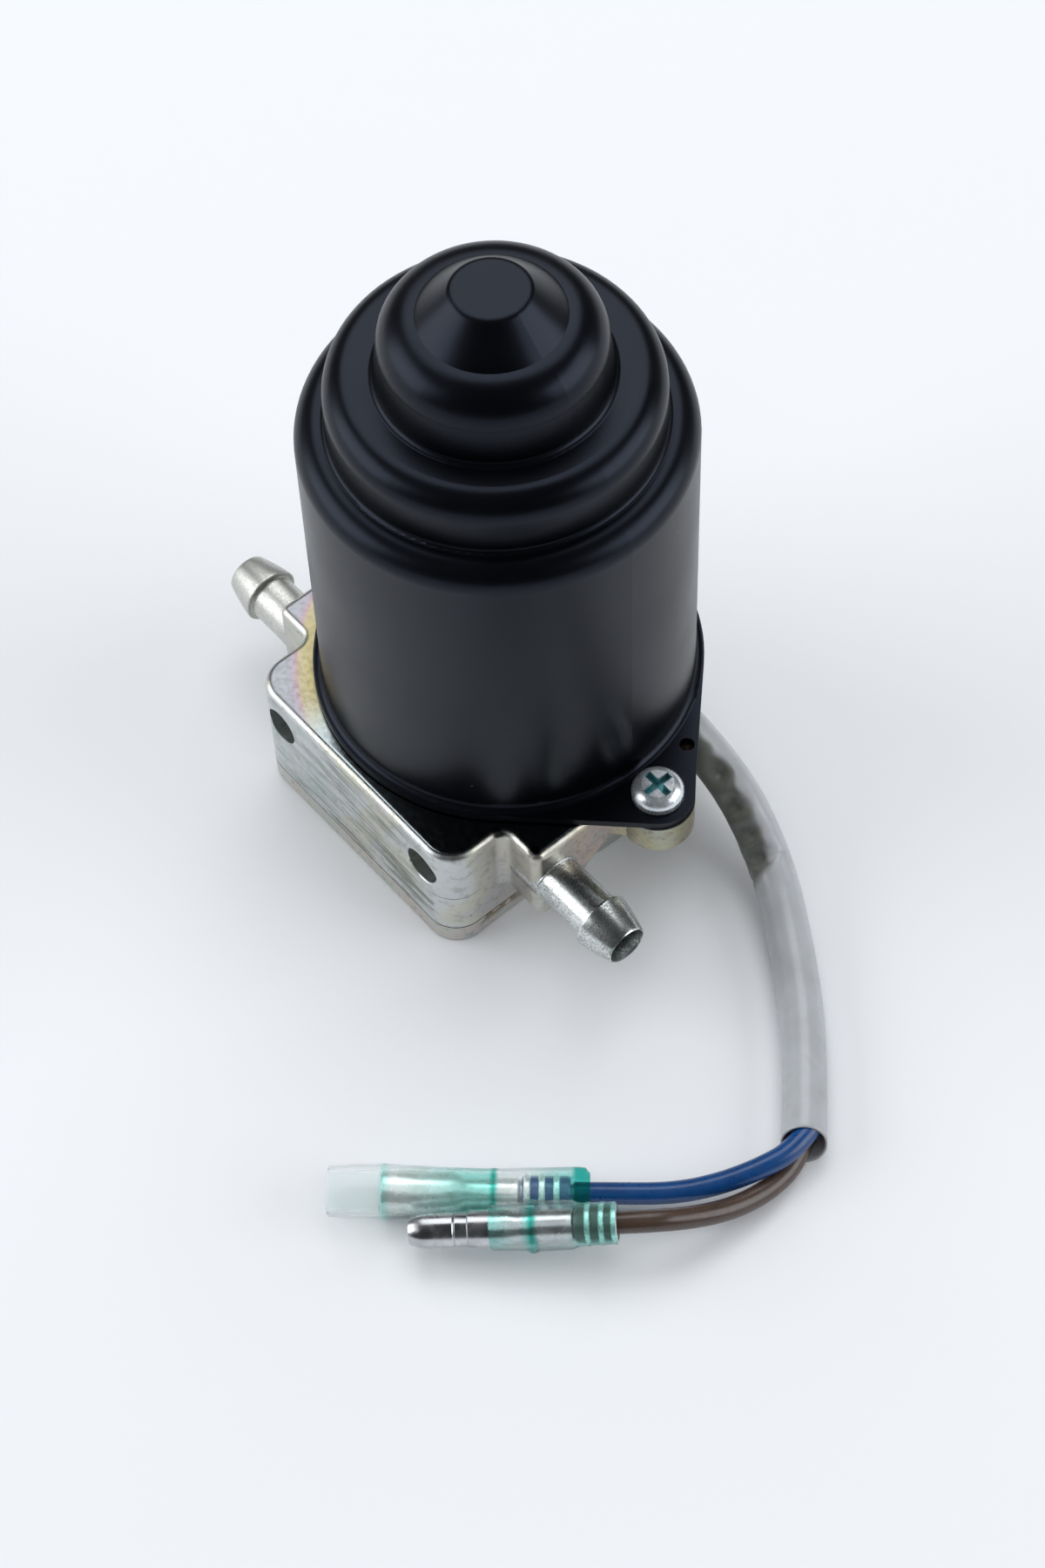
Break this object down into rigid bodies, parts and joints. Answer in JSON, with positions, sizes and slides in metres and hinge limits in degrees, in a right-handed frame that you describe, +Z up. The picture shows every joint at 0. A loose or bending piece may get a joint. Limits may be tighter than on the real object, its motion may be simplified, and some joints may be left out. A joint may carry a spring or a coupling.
{
  "type": "electric oil feed pump",
  "caption": "Electric oil feed pump: gear pump in a cast body with hose nozzles, black drawn motor can above it, and a sleeved two-wire lead with bullet connectors.",
  "frame": {"origin": "on the motor's axis at the underside of the bottom cover", "axes": "+Z up the motor's axis, +X along the front hose nozzle, the wall with the mounting holes faces -Y"},
  "size_m": [0.1034, 0.0826, 0.086],
  "materials": {
    "black_steel": "satin black plating",
    "zinc_casting": "die cast with a thin yellow chromate",
    "cover_steel": "zinc plated steel plate",
    "zinc_screws": "bright zinc plating",
    "nozzle_zinc": "bright zinc plated steel",
    "packing": "dark fibre packing",
    "gear_steel": "sintered steel",
    "shaft_steel": "ground steel",
    "bush_bronze": "sintered bronze",
    "seal_rubber": "black rubber",
    "lamination_steel": "steel laminations",
    "enamelled_copper": "enamelled copper wire",
    "brown_phenolic": "phenolic board",
    "commutator_copper": "turned copper",
    "ferrite": "pressed ferrite",
    "brass_parts": "pressed brass",
    "carbon": "carbon with copper",
    "grey_tube": "soft pale grey tube",
    "blue_insulation": "blue wire insulation",
    "brown_insulation": "brown wire insulation",
    "tinned_brass": "tinned brass",
    "clear_sleeve": "clear soft sleeve with a faint green tint"
  },
  "bodies": {
    "root": {"motor_can": "black_steel", "flange_packing": "packing", "pump_body": "zinc_casting", "cover_gasket": "packing", "bottom_cover": "cover_steel", "cover_screws": "zinc_screws", "flange_screws": "zinc_screws", "front_hose_nozzle": "nozzle_zinc", "back_hose_nozzle": "nozzle_zinc", "idler_pin": "shaft_steel", "lower_bush": "bush_bronze", "shaft_seal": "seal_rubber", "upper_bush": "bush_bronze", "bush_retainer": "shaft_steel", "right_magnet": "ferrite", "left_magnet": "ferrite", "back_magnet_clip": "shaft_steel", "front_magnet_clip": "shaft_steel", "brush_plate": "brown_phenolic", "brush_plate_screws": "zinc_screws", "right_brush_box": "brass_parts", "left_brush_box": "brass_parts", "right_brush": "carbon", "left_brush": "carbon", "right_brush_spring": "shaft_steel", "left_brush_spring": "shaft_steel", "right_brush_terminal": "brass_parts", "left_brush_terminal": "brass_parts", "blue_lead_tail": "blue_insulation", "brown_lead_tail": "brown_insulation", "cable_grommet": "seal_rubber", "cable_sleeve": "grey_tube", "blue_lead": "blue_insulation", "brown_lead": "brown_insulation", "blue_terminal": "tinned_brass", "blue_terminal_sleeve": "clear_sleeve", "brown_terminal": "tinned_brass", "brown_terminal_sleeve": "clear_sleeve"},
    "armature": {"armature_shaft": "shaft_steel", "armature_core": "lamination_steel", "armature_winding": "enamelled_copper", "commutator_hub": "brown_phenolic", "commutator": "commutator_copper", "drive_gear": "gear_steel", "drive_key": "shaft_steel", "thrust_ball": "shaft_steel"},
    "driven_wheel": {"driven_gear": "gear_steel"}
  },
  "joints": [
    {"name": "armature_spin", "type": "hinge", "parent": "root", "child": "armature", "pos_m": [0, 0, 0], "axis": [0, 0, 1], "continuous": true},
    {"name": "driven_gear_spin", "type": "hinge", "parent": "root", "child": "driven_wheel", "pos_m": [0, -0.0133, 0], "axis": [0, 0, 1], "continuous": true}
  ],
  "couplings": [
    {"joint": "driven_gear_spin", "follows": "armature_spin", "ratio": -1}
  ]
}
